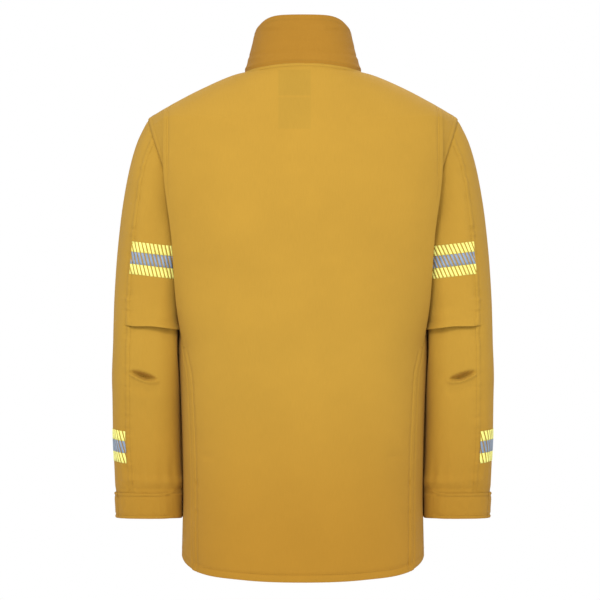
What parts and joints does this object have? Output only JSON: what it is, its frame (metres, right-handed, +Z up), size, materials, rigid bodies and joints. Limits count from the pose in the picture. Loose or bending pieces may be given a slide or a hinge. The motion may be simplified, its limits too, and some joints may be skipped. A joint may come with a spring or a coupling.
{
  "type": "turnout coat",
  "caption": "Yellow single-layer fire coat with stand collar, action-pleat back, drop tail, segmented reflective sleeve trim, wrist straps, zip front under a storm flap, bellows pockets.",
  "frame": {"origin": "centre of the neck opening, level with the points where the collar meets the shoulder seams", "axes": "+Z up, +Y the way the wearer faces, +X the wearer's right"},
  "size_m": [0.6034, 0.3319, 0.886],
  "materials": {
    "cloth": "matte plain-weave flame-resistant cloth, yellow ochre",
    "trim": "segmented reflective trim, lemon with a silver centre stripe",
    "zip_metal": "satin",
    "zip_tape": "matte woven tape",
    "hook_and_loop": "matte napped strip",
    "label": "matte blank woven label",
    "webbing": "matte webbing"
  },
  "bodies": {
    "coat": {"back_panel": "cloth", "collar_shell": "cloth", "collar_lining": "cloth", "neck_facing": "cloth", "neck_labels": "label", "zip_box": "zip_metal", "storm_flap_top": "cloth", "storm_loop_strip": "hook_and_loop", "right_pleat_gusset": "cloth", "right_side_panel": "cloth", "right_front_panel": "cloth", "right_front_yoke": "cloth", "right_zip_tape": "zip_tape", "right_zip_teeth": "zip_metal", "right_chest_pocket": "cloth", "right_cargo_pocket": "cloth", "left_pleat_gusset": "cloth", "left_side_panel": "cloth", "left_front_panel": "cloth", "left_front_yoke": "cloth", "left_zip_tape": "zip_tape", "left_zip_teeth": "zip_metal", "left_chest_pocket": "cloth", "left_cargo_pocket": "cloth"},
    "right_upper_arm": {"right_upper_sleeve_top": "cloth", "right_upper_sleeve_under": "cloth", "right_arm_trim": "trim"},
    "right_forearm": {"right_forearm_top": "cloth", "right_forearm_under": "cloth", "right_wrist_trim": "trim", "right_cuff_band": "cloth", "right_cuff_strap": "cloth"},
    "right_wrist_tab": {"right_cuff_tab": "cloth", "right_cuff_hooks": "hook_and_loop"},
    "right_chest_flap": {"right_chest_flap": "cloth", "right_chest_hooks": "hook_and_loop"},
    "right_cargo_flap": {"right_cargo_flap": "cloth", "right_cargo_hooks": "hook_and_loop"},
    "left_upper_arm": {"left_upper_sleeve_top": "cloth", "left_upper_sleeve_under": "cloth", "left_arm_trim": "trim"},
    "left_forearm": {"left_forearm_top": "cloth", "left_forearm_under": "cloth", "left_wrist_trim": "trim", "left_cuff_band": "cloth", "left_cuff_strap": "cloth"},
    "left_wrist_tab": {"left_cuff_tab": "cloth", "left_cuff_hooks": "hook_and_loop"},
    "left_chest_flap": {"left_chest_flap": "cloth", "left_chest_hooks": "hook_and_loop"},
    "left_cargo_flap": {"left_cargo_flap": "cloth", "left_cargo_hooks": "hook_and_loop"},
    "storm_flap": {"storm_flap": "cloth", "storm_hook_strip": "hook_and_loop"},
    "zip_slider": {"zip_slider": "zip_metal", "zip_pull": "zip_metal"},
    "throat_tab": {"throat_tab": "cloth"},
    "hanger_loop": {"hanger_loop": "webbing"}
  },
  "joints": [
    {"name": "right_shoulder", "type": "hinge", "parent": "coat", "child": "right_upper_arm", "pos_m": [0.243, 0, -0.077], "axis": [0, -1, 0], "range_deg": [0, 45]},
    {"name": "right_elbow", "type": "hinge", "parent": "right_upper_arm", "child": "right_forearm", "pos_m": [0.2497, 0.0665, -0.44], "axis": [1, 0, 0], "range_deg": [0, 60], "stiffness_Nm_per_rad": 0.12, "springref_deg": -51.57},
    {"name": "right_wrist_tab", "type": "hinge", "parent": "right_forearm", "child": "right_wrist_tab", "pos_m": [0.29245, -0.00823, -0.6825], "axis": [0.0365, -0.0992, 0.9944], "range_deg": [0, 75]},
    {"name": "right_chest_flap", "type": "hinge", "parent": "coat", "child": "right_chest_flap", "pos_m": [0.05615, 0.16214, -0.208], "axis": [0.9581, -0.2863, 0], "range_deg": [0, 120]},
    {"name": "right_cargo_flap", "type": "hinge", "parent": "coat", "child": "right_cargo_flap", "pos_m": [0.05565, 0.16438, -0.54], "axis": [0.9437, -0.3308, 0], "range_deg": [0, 120]},
    {"name": "left_shoulder", "type": "hinge", "parent": "coat", "child": "left_upper_arm", "pos_m": [-0.243, 0, -0.077], "axis": [0, 1, 0], "range_deg": [0, 45]},
    {"name": "left_elbow", "type": "hinge", "parent": "left_upper_arm", "child": "left_forearm", "pos_m": [-0.2497, 0.0665, -0.44], "axis": [1, 0, 0], "range_deg": [0, 60], "stiffness_Nm_per_rad": 0.12, "springref_deg": -51.57},
    {"name": "left_wrist_tab", "type": "hinge", "parent": "left_forearm", "child": "left_wrist_tab", "pos_m": [-0.29245, -0.00823, -0.6825], "axis": [0.0365, 0.0992, -0.9944], "range_deg": [0, 75]},
    {"name": "left_chest_flap", "type": "hinge", "parent": "coat", "child": "left_chest_flap", "pos_m": [-0.05615, 0.16214, -0.208], "axis": [0.9581, 0.2863, 0], "range_deg": [0, 120]},
    {"name": "left_cargo_flap", "type": "hinge", "parent": "coat", "child": "left_cargo_flap", "pos_m": [-0.05565, 0.16438, -0.54], "axis": [0.9437, 0.3308, 0], "range_deg": [0, 120]},
    {"name": "storm_flap", "type": "hinge", "parent": "coat", "child": "storm_flap", "pos_m": [-0.034, 0.1564, -0.471], "axis": [0, 0, 1], "range_deg": [0, 95]},
    {"name": "zip_slide", "type": "slide", "parent": "coat", "child": "zip_slider", "axis": [0, 0, 1], "range_m": [-0.52, 0]},
    {"name": "throat_tab", "type": "hinge", "parent": "coat", "child": "throat_tab", "pos_m": [-0.03788, 0.07901, -0.03256], "axis": [0.1296, -0.0745, 0.9888], "range_deg": [0, 110]},
    {"name": "hanger_loop", "type": "hinge", "parent": "coat", "child": "hanger_loop", "pos_m": [0, -0.0757, 0.006], "axis": [1, 0, 0], "range_deg": [0, 90]}
  ]
}
